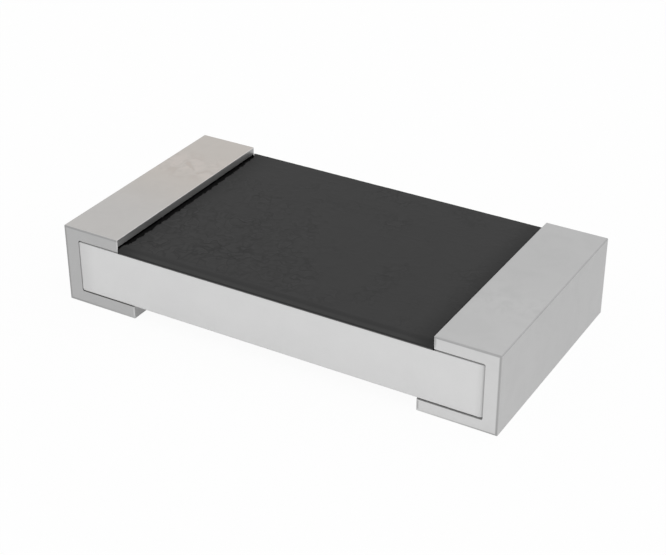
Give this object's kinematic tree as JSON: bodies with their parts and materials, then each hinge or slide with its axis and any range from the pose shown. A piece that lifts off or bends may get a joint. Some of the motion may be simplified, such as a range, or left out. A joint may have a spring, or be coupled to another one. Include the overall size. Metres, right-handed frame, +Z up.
{
  "type": "smd chip resistor",
  "caption": "Surface-mount thick film chip resistor: a flat ceramic plate with a black-coated resistor film on top and matte tin terminations wrapped around its ends.",
  "frame": {"origin": "middle of the footprint, in the plane of the solder pads", "axes": "+X along the chip from the left to the right termination, +Y across it, +Z up from the circuit board to the overcoat"},
  "size_m": [0.0032, 0.0016, 0.0005],
  "materials": {
    "alumina": "fired alumina, fine matte",
    "silver_paste": "fired silver-palladium paste, matte",
    "resistor_paste": "fired ruthenium oxide paste, satin",
    "glass": "fired borosilicate glaze, glossy",
    "epoxy": "cured black epoxy, satin with fine wrinkles",
    "end_metal": "sputtered nickel-chromium, satin",
    "nickel": "electroplated nickel, satin",
    "tin": "electroplated matte tin"
  },
  "bodies": {
    "root": {"ceramic_substrate": "alumina", "bottom_electrode_left": "silver_paste", "bottom_electrode_right": "silver_paste", "top_electrode_left": "silver_paste", "top_electrode_right": "silver_paste", "resistor_film": "resistor_paste", "glass_coat": "glass", "overcoat": "epoxy", "end_electrode_left": "end_metal", "end_electrode_right": "end_metal", "nickel_barrier_left": "nickel", "nickel_barrier_right": "nickel", "tin_plating_left": "tin", "tin_plating_right": "tin"}
  },
  "joints": []
}
